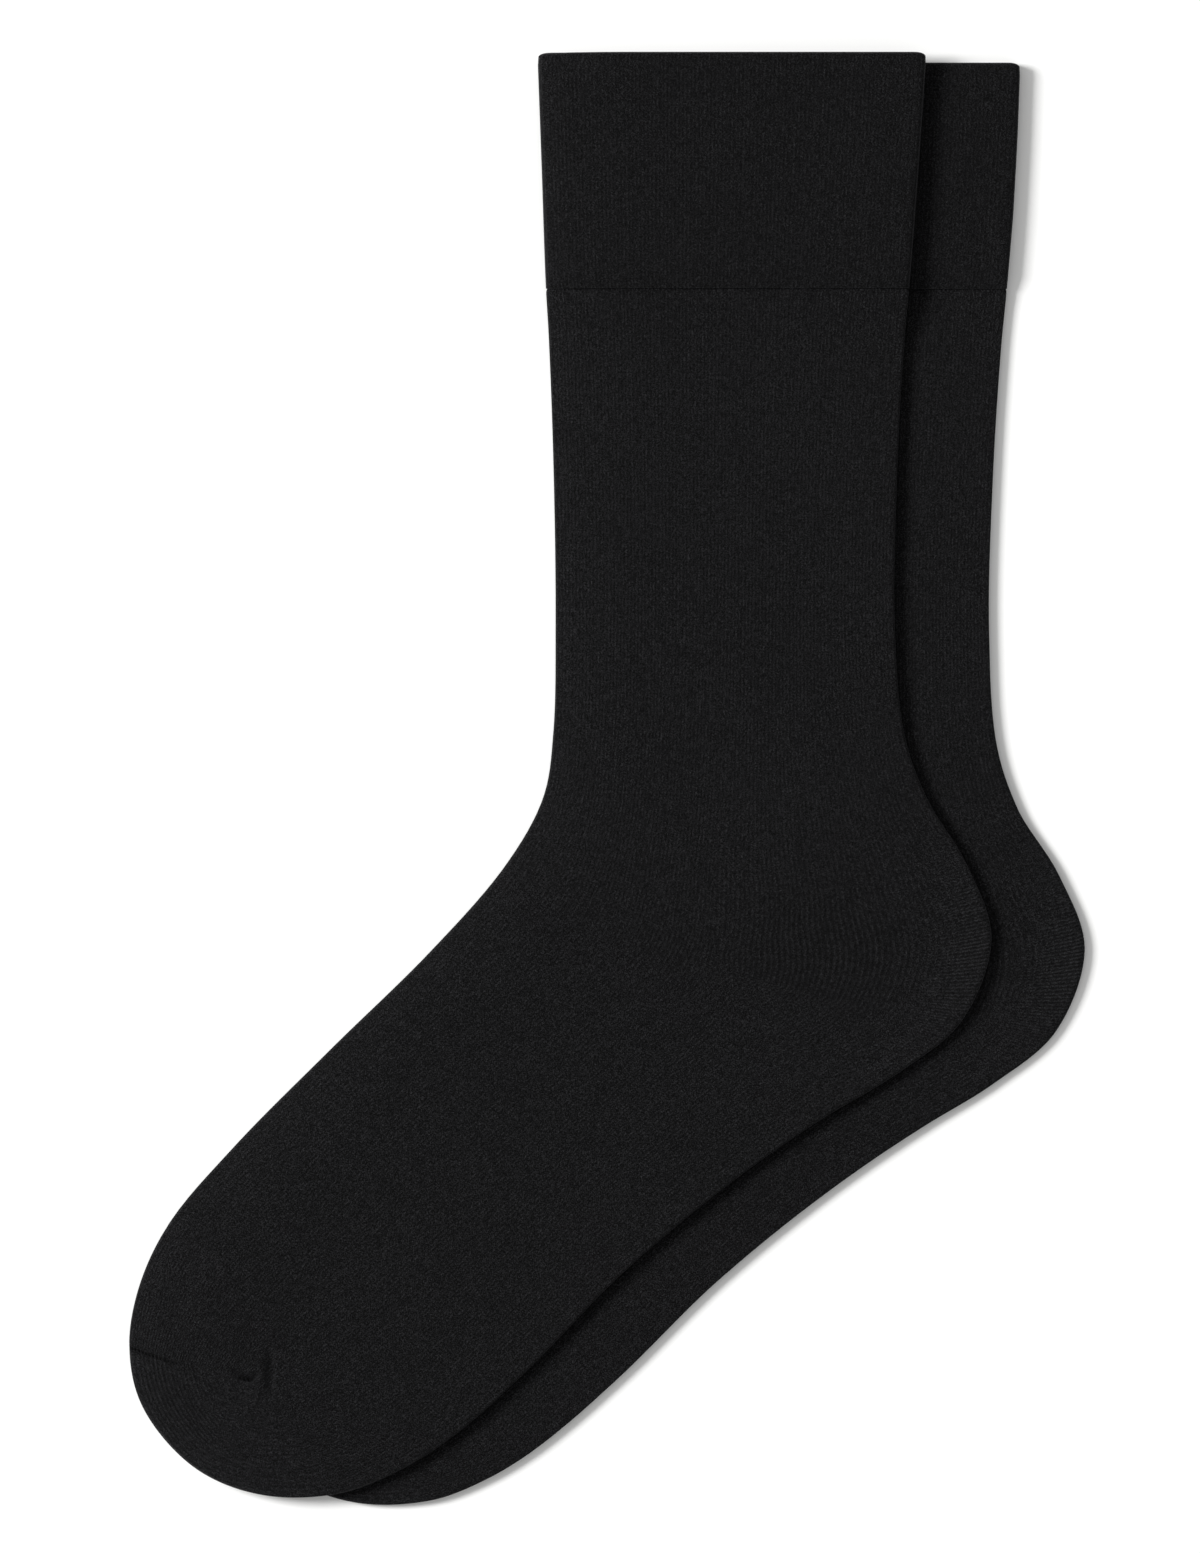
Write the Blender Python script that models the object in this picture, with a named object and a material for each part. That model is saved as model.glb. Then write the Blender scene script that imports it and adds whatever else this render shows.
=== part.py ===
# A pair of knitted dress socks laid flat, the upper one draped over the lower one.
# Each sock is one circular-knitted tube. Its knitted zones (welt, leg, heel, foot and toe) are
# solids of their own, 0.3 mm apart. Seen from above, a sock's mouth is at +Y and its heel at +X.
# Sizes and places are in metres.

import math
from collections import namedtuple

import bmesh
import bpy
import numpy as np
from mathutils import Vector

# The cloth
WALL = 0.00105  # leg, heel, foot and toe
SLACK = 0.0004  # air between the two walls of the flat tube
WELT_WALL = 0.0019  # the welt is knitted double and turned in
WELT_SLACK = 0.0006
WELT_SHOULDER = 0.0018  # over this length the welt's upper wall thins to its base
WELT_BASE_SHARE = 0.7  # to this share of its thickness
SEAM_GAP = 0.0003  # between zones, and between the two socks

# The pair
LOWER_SHIFT = (0.0246, -0.0025)  # the lower sock's place beside the upper one's
LOWER_WELT_SHORTER = 0.0025  # its welt was turned this much shallower
WELT_STEP_LENGTH = 0.014  # the upper sock comes down from the lower one's welt over this length
DROOP_LENGTH = 0.018  # the least width over which its overhang sinks to the table

# Where the columns of a course stand, as shares of its length between its folds. The columns of
# a tube are close together at the front, where the upper sock hangs over to the table.
TUBE_SHARES = (0.06, 0.12, 0.18, 0.24, 0.32, 0.5, 0.75)
HEEL_SHARES = (0.25, 0.5, 0.75)
TOE_SHARES = (0.15, 0.3, 0.45, 0.6, 0.8)
FOLD_TURN = 45  # degrees between the facets of a rounded fold
SMOOTH_ANGLE = math.radians(50)

YARN_COLOUR = (0.011, 0.011, 0.012)
YARN_ROUGHNESS = 0.92

# Points where zones meet
HEEL_CORNER = (-0.0068, -0.0060)  # leg, heel and foot, over the ankle bone
HEEL_TURN = (0.0255, -0.0151)  # the end of the heel's gore line
TOE_CORNER = (-0.1248, -0.1139)  # foot and toe, at the inner end of the linking seam
TOE_TURN = (-0.1325, -0.1270)  # the end of the toe's gore line
LEG_END_FRONT = (-0.0588, 0.0187)
LEG_END_BACK = (0.0619, 0.0195)
SOLE_START = (0.0239, -0.0463)
FOOT_END_FRONT = (-0.1559, -0.1050)
FOOT_END_BACK = (-0.1016, -0.1435)

# One course of the flat tube: how far down its zone it is, its front fold, the needle over the
# ankle bone, its back fold, and how many rings there are from it to the next course named.
Course = namedtuple("Course", "name at front middle back rings")

WELT = (
    Course("mouth", 0.000, (-0.0498, 0.2306), (0.0007, 0.2306), (0.0512, 0.2306), 2),
    Course("mid welt", 0.030, (-0.0487, 0.2005), (0.0002, 0.2005), (0.0491, 0.2005), 2),
    Course("welt base", 0.061, (-0.0476, 0.1695), (-0.0004, 0.1695), (0.0467, 0.1695), 0),
)
LEG = (
    Course("welt base", 0.000, (-0.0476, 0.1695), (-0.0004, 0.1695), (0.0467, 0.1695), 4),
    Course("below the welt", 0.012, (-0.0469, 0.1575), (-0.0006, 0.1575), (0.0456, 0.1575), 1),
    Course("calf", 0.048, (-0.0456, 0.1215), (-0.0009, 0.1215), (0.0436, 0.1215), 1),
    Course("shin", 0.088, (-0.0451, 0.0820), (-0.0012, 0.0800), (0.0430, 0.0820), 2),
    Course("ankle", 0.118, (-0.0457, 0.0540), (-0.0022, 0.0460), (0.0454, 0.0540), 2),
    Course("over the heel", 0.142, (-0.0487, 0.0362), (-0.0038, 0.0210), (0.0517, 0.0364), 3),
    Course("leg end", 0.165, LEG_END_FRONT, HEEL_CORNER, LEG_END_BACK, 0),
)
FOOT = (
    Course("foot start", 0.000, LEG_END_FRONT, HEEL_CORNER, SOLE_START, 2),
    Course("instep", 0.028, (-0.0773, -0.0024), (-0.0274, -0.0249), (0.0010, -0.0623), 2),
    Course("arch", 0.065, (-0.1037, -0.0283), (-0.0547, -0.0498), (-0.0273, -0.0859), 2),
    Course("ball", 0.102, (-0.1297, -0.0546), (-0.0820, -0.0748), (-0.0534, -0.1124), 2),
    Course("tread", 0.127, (-0.1458, -0.0738), (-0.1005, -0.0917), (-0.0722, -0.1290), 2),
    Course("toe joint", 0.145, (-0.1534, -0.0900), (-0.1137, -0.1038), (-0.0873, -0.1383), 2),
    Course("foot end", 0.160, FOOT_END_FRONT, TOE_CORNER, FOOT_END_BACK, 0),
)

# A pocket is knitted to and fro on half the needles. Its courses grow shorter up to the turn and
# longer after it, and the ends of the two halves meet along the gore line from corner to turn.
# One course: its share of the way round the pocket, its fold, and the rings to the next one.
PocketCourse = namedtuple("PocketCourse", "name at fold rings")

HEEL = (
    PocketCourse("leg side", 0.00, LEG_END_BACK, 1),
    PocketCourse("back of the heel", 0.25, (0.0681, 0.0003), 2),
    PocketCourse("heel turn", 0.50, (0.0605, -0.0206), 2),
    PocketCourse("under the heel", 0.75, (0.0440, -0.0342), 1),
    PocketCourse("foot side", 1.00, SOLE_START, 0),
)
TOE = (
    PocketCourse("foot side", 0.00, FOOT_END_BACK, 3),
    PocketCourse("under the toes", 0.25, (-0.1216, -0.1438), 2),
    PocketCourse("toe turn", 0.50, (-0.1392, -0.1367), 2),
    PocketCourse("over the toes", 0.75, (-0.1521, -0.1218), 3),
    PocketCourse("linking seam", 1.00, FOOT_END_FRONT, 0),
)

TUBE_THICKNESS = 2 * WALL + SLACK
WELT_THICKNESS = 2 * WELT_WALL + WELT_SLACK


def curve(rows, column, at):
    """The point at this station of a smooth curve through one column of the rows."""
    stations = np.array([row.at for row in rows])
    points = np.array([getattr(row, column) for row in rows])
    slopes = np.diff(points, axis=0) / np.diff(stations)[:, None]
    tangents = np.vstack([slopes[:1], (slopes[1:] + slopes[:-1]) / 2, slopes[-1:]])
    i = min(int(np.searchsorted(stations, at, side="right")) - 1, len(rows) - 2)
    span = stations[i + 1] - stations[i]
    t = (at - stations[i]) / span
    return (
        (2 * t**3 - 3 * t**2 + 1) * points[i]
        + (t**3 - 2 * t**2 + t) * span * tangents[i]
        + (3 * t**2 - 2 * t**3) * points[i + 1]
        + (t**3 - t**2) * span * tangents[i + 1]
    )


def with_shorter_welt(shorter):
    """The welt's and the leg's courses where the welt ends this much nearer to the mouth."""
    base = WELT[-1].at - shorter
    points = [tuple(curve(WELT, column, base)) for column in ("front", "middle", "back")]
    welt = (*WELT[:-1], Course("welt base", base, *points, WELT[-1].rings))
    leg = [row._replace(at=row.at + shorter) for row in LEG[1:]]
    return welt, (Course("welt base", 0.0, *points, LEG[0].rings), *leg)


def ring_stations(rows):
    """Where the rings stand: at each named course, and evenly between it and the next."""
    found = []
    for row, after in zip(rows, rows[1:]):
        found += [row.at + (after.at - row.at) * i / row.rings for i in range(row.rings)]
    return found + [rows[-1].at]


def fold_line(rows, column):
    """One fold of a zone, as points in the order of its courses."""
    count = 24
    return [curve(rows, column, at) for at in np.linspace(rows[0].at, rows[-1].at, count)]


def sock_outline():
    """The sock's outline from above, once round."""
    front = fold_line(WELT, "front") + fold_line(LEG, "front") + fold_line(FOOT, "front")
    back = fold_line(WELT, "back") + fold_line(LEG, "back") + fold_line(HEEL, "fold")
    back += fold_line(FOOT, "back") + fold_line(TOE, "fold")
    return np.array(front + back[::-1])


OUTLINE = sock_outline()


def edge_distance(point):
    """How far a point lies from the sock's outline, and less than 0 inside it."""
    end = np.roll(OUTLINE, -1, axis=0)
    side = end - OUTLINE
    squares = np.maximum((side**2).sum(axis=1), 1e-12)
    share = np.clip(((point - OUTLINE) * side).sum(axis=1) / squares, 0, 1)
    nearest = np.linalg.norm(OUTLINE + side * share[:, None] - point, axis=1).min()
    crossed = (OUTLINE[:, 1] > point[1]) != (end[:, 1] > point[1])
    rise = np.where(crossed, side[:, 1], 1)
    crossing_x = OUTLINE[:, 0] + (point[1] - OUTLINE[:, 1]) * side[:, 0] / rise
    inside = np.count_nonzero(crossed & (crossing_x > point[0])) % 2 == 1
    return -nearest if inside else nearest


def ease(value):
    """0 up to 0, 1 from 1 on, and a soft step between."""
    value = min(max(value, 0.0), 1.0)
    return value * value * (3 - 2 * value)


def on_table(point):
    return 0.0


def on_lower_sock(point):
    """How high the upper sock's underside is: on the lower sock, or sinking beside it."""
    under = np.asarray(point) - LOWER_SHIFT
    welt_base = WELT[-1].front[1] + LOWER_WELT_SHORTER
    on_welt = ease((under[1] - welt_base) / WELT_STEP_LENGTH + 1)
    top = TUBE_THICKNESS + (WELT_THICKNESS - TUBE_THICKNESS) * on_welt
    beside = max(edge_distance(under), 0)
    width = max(beside - edge_distance(point), DROOP_LENGTH)
    droop = (TUBE_THICKNESS + SEAM_GAP) * (beside / width) ** 2
    return max(top + SEAM_GAP - droop, 0.0)


def unit(vector):
    return vector / np.linalg.norm(vector)


def walk(path, share):
    """A point on a course, each of whose stretches has the same number of stitches."""
    place = share * (len(path) - 1)
    i = min(int(place), len(path) - 2)
    return path[i] + (path[i + 1] - path[i]) * (place - i)


def tube_path(rows, at):
    """A tube's course, from its front fold over its middle needle to its back fold."""
    return np.array([curve(rows, column, at) for column in ("front", "middle", "back")])


def pocket_path(rows, corner, turn, at):
    """A pocket's course, from the gore line to its fold."""
    along_gore = 1 - abs(2 * at - 1)
    gore = np.array(corner) + (np.array(turn) - corner) * along_gore
    return np.array([gore, curve(rows, "fold", at)])


def columns_of(shares, closed_round):
    """The columns of a course: the share along it, and the turn of the surface there in degrees."""
    over = [(share, 90) for share in shares]
    under = [(share, -90) for share in reversed(shares)]
    back_fold = [(1, turn) for turn in range(90, -91, -FOLD_TURN)]
    if closed_round:
        front_fold = [(0, turn) for turn in range(-90, 91, FOLD_TURN)]
        return over + back_fold + under + front_fold
    return [(0, 90)] + over + back_fold + under + [(0, -90)]


def course_layers(path, columns, closed_round, wall, slack, ground):
    """The outer and the inner points of one course of the flattened tube."""
    reach = wall + slack / 2
    away = {0: unit(path[0] - path[1]), 1: unit(path[-1] - path[-2])}
    path[-1] -= reach * away[1]
    if closed_round:
        path[0] -= reach * away[0]
    layers = []
    for radius in (reach, slack / 2):
        points = []
        for share, turn in columns:
            sideways = away[share] * math.cos(math.radians(turn)) if share in away else 0
            place = walk(path, share) + radius * sideways
            height = reach + radius * math.sin(math.radians(turn))
            points.append(Vector((*place, ground(place) + height)))
        layers.append(points)
    return layers


def drawn_back(points, behind, distance):
    """The points of an end course, moved towards the course behind it to leave a gap."""
    return [point + (other - point).normalized() * distance for point, other in zip(points, behind)]


def tube(rows, ground, wall=WALL, slack=SLACK):
    """The outer and the inner courses of a zone that goes all round the tube."""
    columns = columns_of(TUBE_SHARES, True)
    courses = [
        course_layers(tube_path(rows, at), columns, True, wall, slack, ground)
        for at in ring_stations(rows)
    ]
    return [list(layer) for layer in zip(*courses)]


def draw_back_end(layers, last, before):
    for layer in layers:
        layer[last] = drawn_back(layer[last], layer[before], SEAM_GAP / 2)


def plain_tube(rows, ground):
    layers = tube(rows, ground)
    draw_back_end(layers, 0, 1)
    draw_back_end(layers, -1, -2)
    return layers


def welt_tube(rows, ground):
    """The welt: a round turned edge at the mouth, and a shoulder down to the leg at its base."""
    outer, inner = tube(rows, ground, WELT_WALL, WELT_SLACK)
    edge_radius = WELT_WALL / 2
    turned = []
    for turn in (FOLD_TURN, 0, -FOLD_TURN):
        share = (1 + math.sin(math.radians(turn))) / 2
        depth = edge_radius * (1 - math.cos(math.radians(turn)))
        rim = [low.lerp(high, share) for low, high in zip(inner[0], outer[0])]
        turned.append([point - Vector((0, depth, 0)) for point in rim])
    down = Vector((0, edge_radius, 0))
    outer[0] = [point - down for point in outer[0]]
    inner[0] = [point - down for point in inner[0]]
    outer = turned[:2][::-1] + outer
    inner = [turned[2]] + inner

    shoulder = [point + Vector((0, WELT_SHOULDER, 0)) for point in outer[-1]]
    base = []
    for low, high in zip(inner[-1], outer[-1]):
        thinner = low.lerp(high, WELT_BASE_SHARE)
        base.append(Vector((thinner.x, thinner.y, min(high.z, thinner.z))))
    outer[-1:] = [shoulder, base]
    layers = [outer, inner]
    draw_back_end(layers, -1, -2)
    return layers


def pocket(rows, corner, turn, shares, ground):
    """The outer and the inner courses of a heel or toe pocket."""
    columns = columns_of(shares, False)
    courses = [
        course_layers(pocket_path(rows, corner, turn, at), columns, False, WALL, SLACK, ground)
        for at in ring_stations(rows)
    ]
    layers = [list(layer) for layer in zip(*courses)]
    for layer in layers:
        tips = [drawn_back([layer[0][i]], [layer[1][i]], SEAM_GAP)[0] for i in (0, -1)]
        for last, before in ((0, 1), (-1, -2)):
            layer[last] = drawn_back(layer[last], layer[before], SEAM_GAP / 2)
            layer[last][0], layer[last][-1] = tips
    return layers


def yarn(name):
    """Matt black cotton knit."""
    material = bpy.data.materials.new(name)
    material.use_nodes = True
    shader = material.node_tree.nodes["Principled BSDF"]
    shader.inputs["Base Color"].default_value = (*YARN_COLOUR, 1)
    shader.inputs["Roughness"].default_value = YARN_ROUGHNESS
    shader.inputs["Metallic"].default_value = 0.0
    material.diffuse_color = (*YARN_COLOUR, 1)
    return material


def wall_solid(name, layers, closed_round, place):
    """A wall between outer and inner courses, which are joined along the first and the last."""
    outer, inner = layers
    work = bmesh.new()
    grid = [[work.verts.new(point) for point in course] for course in outer + inner[::-1]]
    count = len(grid[0])
    for course, after in zip(grid, grid[1:] + grid[:1]):
        for i in range(count if closed_round else count - 1):
            j = (i + 1) % count
            work.faces.new((course[i], course[j], after[j], after[i]))
    if not closed_round:
        # the two halves of a pocket meet stitch by stitch along the gore line
        bmesh.ops.remove_doubles(work, verts=work.verts, dist=1e-6)
    bmesh.ops.triangulate(work, faces=[face for face in work.faces if len(face.verts) > 3])
    bmesh.ops.recalc_face_normals(work, faces=work.faces)
    mesh = bpy.data.meshes.new(name)
    work.to_mesh(mesh)
    work.free()
    mesh.shade_smooth()
    mesh.set_sharp_from_angle(angle=SMOOTH_ANGLE)
    mesh.materials.append(yarn(f"black cotton knit, {name.replace('_', ' ')}"))
    node = bpy.data.objects.new(name, mesh)
    node.location = place
    bpy.context.collection.objects.link(node)


def sock(name, place, ground, shorter=0.0):
    """One sock, as its five knitted zones."""
    welt, leg = with_shorter_welt(shorter)
    heel = pocket(HEEL, HEEL_CORNER, HEEL_TURN, HEEL_SHARES, ground)
    toe = pocket(TOE, TOE_CORNER, TOE_TURN, TOE_SHARES, ground)
    wall_solid(f"{name}_welt", welt_tube(welt, ground), True, place)
    wall_solid(f"{name}_leg", plain_tube(leg, ground), True, place)
    wall_solid(f"{name}_heel", heel, False, place)
    wall_solid(f"{name}_foot", plain_tube(FOOT, ground), True, place)
    wall_solid(f"{name}_toe", toe, False, place)


def main():
    for old in list(bpy.data.objects):
        bpy.data.objects.remove(old, do_unlink=True)
    pair = np.vstack([OUTLINE, OUTLINE + LOWER_SHIFT])
    middle = (pair.min(axis=0) + pair.max(axis=0)) / 2
    sock("upper", Vector((*-middle, 0)), on_lower_sock)
    sock("lower", Vector((*(LOWER_SHIFT - middle), 0)), on_table, LOWER_WELT_SHORTER)


main()
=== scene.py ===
import math

import bpy
import numpy as np
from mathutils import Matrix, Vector


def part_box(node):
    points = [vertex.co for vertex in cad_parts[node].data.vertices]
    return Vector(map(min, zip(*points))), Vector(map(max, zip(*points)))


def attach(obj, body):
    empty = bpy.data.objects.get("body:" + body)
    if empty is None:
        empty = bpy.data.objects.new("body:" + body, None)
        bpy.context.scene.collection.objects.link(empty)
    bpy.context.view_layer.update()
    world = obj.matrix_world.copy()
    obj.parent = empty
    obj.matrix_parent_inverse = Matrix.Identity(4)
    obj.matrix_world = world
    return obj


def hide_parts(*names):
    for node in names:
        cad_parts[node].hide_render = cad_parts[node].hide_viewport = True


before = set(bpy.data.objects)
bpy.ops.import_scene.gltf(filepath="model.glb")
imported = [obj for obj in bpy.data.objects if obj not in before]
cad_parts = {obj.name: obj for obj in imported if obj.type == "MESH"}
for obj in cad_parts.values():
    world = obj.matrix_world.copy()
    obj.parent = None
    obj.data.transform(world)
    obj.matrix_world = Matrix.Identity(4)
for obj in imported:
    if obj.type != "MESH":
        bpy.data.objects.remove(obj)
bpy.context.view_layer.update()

# A pair of plain black dress socks, laid flat with one sock over the other.
# Each sock is one circular-knitted tube of 200 needles, drawn zone by zone as it comes off the
# machine: turned welt, leg, heel pocket, foot, toe pocket and the linking seam over the toes.
# Sizes are metres unless a note says mm. Sock points are (across, along) from above.

cloth = {
    "wall": 0.00105,  # one layer of the plain knit, flat
    "slack": 0.0004,  # air between the two layers
    "needles": 200,  # wales all round
    "pointsPerWale": 4,  # columns of the mesh
    "waleDepth": 0.00004,  # valley between two wales where the knit is pulled open
    "closedShare": 0.5,  # of that depth where it isn't
    "creaseLimit": 0.0008,  # the deepest that a crease presses into a layer
    "innerCreaseShare": 0.3,  # how much of a crease comes through to the inside
    "innerCreaseLimit": 0.00012,
    "cornerRadius": 0.0018,  # of the mouth's corners
    "frontSwell": -0.42,  # share it is thicker at its front fold; below 0 it is pressed thin
    "backSwell": 0.10,  # and at its back fold, which springs open a little
    "weltBackSwell": 0.0,  # the doubled welt keeps its thickness there
    "swellLength": 0.0028,  # how far in from a fold this reaches
    "foldSquare": 0.68,  # 1 is a round fold, less is a squarer one, pressed flat
}

pair = {
    "seamGap": 0.0003,  # air between the two socks
    "weltStepLength": 0.014,  # the upper sock comes down from the lower welt over this length
    "droopLength": 0.018,  # the least width over which its overhang sinks to the floor
    "tubeThickness": 0.0025,
    "weltThickness": 0.0044,
    "weltLengths": {"upper": 0.061, "lower": 0.0585},  # one was turned a little shallower
}
plainHalf = cloth["wall"] + cloth["slack"] / 2  # half the thickness of the plain flat tube

# where zones meet
heelCorner = (-0.0068, -0.0060)
heelTurn = (0.0255, -0.0151)
toeCorner = (-0.1248, -0.1139)
toeTurn = (-0.1325, -0.1270)
legEndFront = (-0.0588, 0.0187)
legEndBack = (0.0619, 0.0195)
soleStart = (0.0239, -0.0463)
footEndFront = (-0.1559, -0.1050)
footEndBack = (-0.1016, -0.1435)

# each course: how far down its zone, then its front fold, middle wale and back fold
weltCourses = [
    (0.000, (-0.0498, 0.2306), (0.0007, 0.2306), (0.0512, 0.2306)),
    (0.030, (-0.0487, 0.2005), (0.0002, 0.2005), (0.0491, 0.2005)),
    (0.061, (-0.0476, 0.1695), (-0.0004, 0.1695), (0.0467, 0.1695)),
]
legCourses = [
    (0.000, (-0.0476, 0.1695), (-0.0004, 0.1695), (0.0467, 0.1695)),
    (0.012, (-0.0469, 0.1575), (-0.0006, 0.1575), (0.0456, 0.1575)),
    (0.048, (-0.0456, 0.1215), (-0.0009, 0.1215), (0.0436, 0.1215)),
    (0.088, (-0.0451, 0.0820), (-0.0012, 0.0800), (0.0430, 0.0820)),
    (0.118, (-0.0457, 0.0540), (-0.0022, 0.0460), (0.0454, 0.0540)),
    (0.142, (-0.0487, 0.0362), (-0.0038, 0.0210), (0.0517, 0.0364)),
    (0.165, legEndFront, heelCorner, legEndBack),
]
footCourses = [
    (0.000, legEndFront, heelCorner, soleStart),
    (0.028, (-0.0773, -0.0024), (-0.0274, -0.0249), (0.0010, -0.0623)),
    (0.065, (-0.1037, -0.0283), (-0.0547, -0.0498), (-0.0273, -0.0859)),
    (0.102, (-0.1297, -0.0546), (-0.0820, -0.0748), (-0.0534, -0.1124)),
    (0.127, (-0.1458, -0.0738), (-0.1005, -0.0917), (-0.0722, -0.1290)),
    (0.145, (-0.1534, -0.0900), (-0.1137, -0.1038), (-0.0873, -0.1383)),
    (0.160, footEndFront, toeCorner, footEndBack),
]
# a pocket's courses: the share of the way round it, and the fold
heelCourses = [
    (0.00, legEndBack),
    (0.25, (0.0681, 0.0003)),
    (0.50, (0.0605, -0.0206)),
    (0.75, (0.0440, -0.0342)),
    (1.00, soleStart),
]
toeCourses = [
    (0.00, footEndBack),
    (0.25, (-0.1216, -0.1438)),
    (0.50, (-0.1392, -0.1367)),
    (0.75, (-0.1521, -0.1218)),
    (1.00, footEndFront),
]

# Creases pressed into the flat sock. Each point is (across, along, depth, reach to the left of
# the line's direction, reach to its right), all in mm. A depth below 0 is a ridge.
topCreases = [
    # the slack leaf of cloth above the heel's gore line, sharp on the gore side
    [(-11.0, 0.5, 0.0, 3, 1.0), (-4.0, -6.8, 0.34, 7, 0.9), (6.0, -10.0, 0.50, 12, 0.9),
     (15.1, -11.7, 0.56, 15, 0.9), (25.5, -15.1, 0.52, 17, 1.2), (38.0, -14.6, 0.34, 15, 2.6),
     (52.0, -10.4, 0.0, 9, 5.0)],
    # rolled lip under the gore line
    [(-2.0, -10.4, 0.0, 1.2, 2.0), (8.0, -13.2, -0.12, 1.2, 2.4), (18.0, -16.2, -0.16, 1.3, 2.8),
     (28.0, -18.6, -0.10, 1.6, 3.5), (36.0, -18.9, 0.0, 1.6, 4.0)],
    # hook-shaped pit at the inner end of the linking seam
    [(-129.0, -110.9, 0.10, 0.9, 0.8), (-127.6, -112.5, 0.95, 1.3, 0.9),
     (-125.5, -113.7, 1.30, 1.4, 0.8), (-124.2, -113.9, 1.30, 1.3, 0.8),
     (-123.1, -112.9, 0.80, 0.9, 0.6), (-122.8, -111.6, 0.10, 0.6, 0.5)],
    [(-119.9, -105.8, 0.0, 0.9, 1.5), (-119.0, -108.2, 0.72, 0.7, 1.9),
     (-118.6, -112.0, 1.10, 0.7, 2.1), (-118.9, -115.4, 0.72, 0.8, 1.9),
     (-119.8, -119.6, 0.0, 1.2, 1.4)],
    # the cloth between them, and the pinch that runs on below
    [(-121.4, -107.6, 0.0, 0.8, 0.8), (-121.2, -111.2, -0.25, 0.8, 0.8),
     (-121.6, -116.0, -0.28, 1.2, 1.0), (-123.4, -119.6, -0.24, 1.5, 1.5),
     (-124.6, -123.8, 0.0, 1.6, 1.6)],
    # the linking seam pulls the cloth down, more towards the instep fold
    [(-155.6, -105.2, 0.20, 0.6, 0.7), (-149.5, -107.9, 0.28, 0.5, 0.6),
     (-143.0, -109.8, 0.20, 0.5, 0.6), (-138.0, -111.2, 0.07, 0.6, 0.8),
     (-127.6, -113.4, 0.03, 0.6, 0.6)],
    # toe gore, carried on as a soft fold towards the tip
    [(-125.2, -116.4, 0.10, 1.0, 1.3), (-129.5, -124.8, 0.10, 1.0, 1.6),
     (-135.0, -130.4, 0.07, 1.2, 2.0), (-141.0, -135.6, 0.0, 1.4, 2.4)],
    # faint arc where the foot was folded over the board
    [(-141.7, -78.0, 0.0, 2.6, 1.6), (-133.0, -78.6, 0.16, 3.0, 1.7),
     (-124.8, -80.6, 0.22, 3.2, 1.6), (-111.8, -87.1, 0.20, 3.4, 1.8),
     (-100.1, -96.2, 0.0, 3.0, 2.2)],
    [(-136.0, -83.4, 0.0, 2.2, 3.0), (-122.0, -86.6, -0.12, 2.4, 3.4),
     (-108.0, -94.6, 0.0, 2.2, 3.0)],
    # long slack waves down the leg and the foot
    [(-21.0, 158.0, 0.0, 6, 9), (-24.0, 128.0, 0.10, 8, 10), (-22.0, 92.0, 0.14, 9, 8),
     (-26.0, 58.0, 0.0, 7, 9)],
    [(17.0, 142.0, 0.0, 7, 6), (20.5, 110.0, 0.12, 9, 7), (19.0, 74.0, 0.10, 8, 9),
     (24.0, 48.0, 0.0, 7, 7)],
    [(-52.0, -12.0, 0.0, 6, 8), (-70.0, -33.0, 0.12, 8, 9), (-92.0, -55.0, 0.10, 7, 8),
     (-108.0, -68.0, 0.0, 6, 6)],
    [(-14.0, -36.0, 0.0, 6, 6), (-36.0, -60.0, 0.14, 7, 8), (-58.0, -84.0, 0.10, 8, 6),
     (-76.0, -100.0, 0.0, 6, 6)],
    [(-22.0, 216.0, 0.0, 9, 9), (-20.0, 196.0, 0.10, 10, 8), (-23.0, 180.0, 0.0, 8, 8)],
    [(24.0, 219.0, 0.0, 8, 8), (26.0, 202.0, 0.12, 9, 8), (23.0, 183.0, 0.0, 8, 7)],
]
underCreases = [
    [(-9.0, -2.0, 0.0, 3, 1.0), (2.0, -8.6, 0.34, 9, 0.9), (14.0, -11.9, 0.46, 12, 0.9),
     (25.5, -15.1, 0.42, 14, 1.3), (40.0, -13.2, 0.22, 12, 3.0), (50.0, -11.0, 0.0, 8, 5.0)],
    [(-124.8, -113.9, 0.52, 1.0, 1.0), (-126.6, -116.6, 0.30, 0.9, 1.2),
     (-131.0, -125.6, 0.24, 1.2, 1.7), (-138.0, -132.4, 0.0, 1.4, 2.2)],
    [(-138.0, -72.0, 0.0, 2.4, 2.0), (-124.0, -76.4, 0.16, 2.6, 2.2), (-109.0, -84.0, 0.18, 3, 2),
     (-96.0, -94.0, 0.0, 3.0, 2.0)],
    [(-16.0, 150.0, 0.0, 8, 8), (-19.5, 116.0, 0.14, 9, 7), (-17.0, 70.0, 0.0, 7, 9)],
    [(22.0, 136.0, 0.0, 7, 7), (18.0, 98.0, 0.12, 8, 8), (21.0, 55.0, 0.0, 7, 6)],
    [(-30.0, -48.0, 0.0, 7, 7), (-52.0, -70.0, 0.14, 8, 8), (-72.0, -92.0, 0.0, 6, 7)],
    [(3.0, 214.0, 0.0, 9, 8), (1.0, 194.0, 0.12, 9, 9), (4.0, 178.0, 0.0, 8, 8)],
]

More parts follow.
